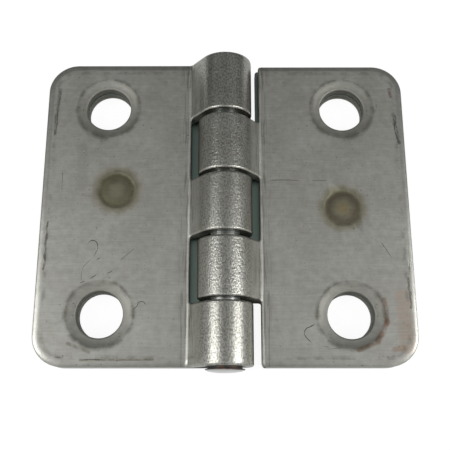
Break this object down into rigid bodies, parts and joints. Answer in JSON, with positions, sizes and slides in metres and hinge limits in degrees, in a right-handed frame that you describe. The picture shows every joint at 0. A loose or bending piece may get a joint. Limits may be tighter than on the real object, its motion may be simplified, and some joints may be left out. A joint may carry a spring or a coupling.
{
  "type": "butt hinge",
  "caption": "Butt hinge folded from stainless sheet, with rounded leaves, dished screw holes and interleaved knuckles on a riveted pin.",
  "frame": {"origin": "below the middle of the open hinge, on the plane that the barrel lies on, midway between the two ends of the hinge", "axes": "+X across the leaves towards the leaf that carries the inner knuckles, +Y along the pin away from its riveted end, +Z out of the front faces, on the barrel's side"},
  "size_m": [0.07, 0.0606, 0.0103],
  "materials": {
    "stainless_sheet": "dull mill-finished stainless sheet, tumbled after folding",
    "drawn_stainless": "smooth drawn stainless bar"
  },
  "bodies": {
    "left_leaf_and_pin": {"left_leaf": "stainless_sheet", "hinge_pin": "drawn_stainless"},
    "right_leaf_body": {"right_leaf": "stainless_sheet"}
  },
  "joints": [
    {"name": "leaf_swing", "type": "hinge", "parent": "left_leaf_and_pin", "child": "right_leaf_body", "pos_m": [0, 0.00055, 0.00515], "axis": [0, -1, 0], "range_deg": [-85, 180]}
  ]
}
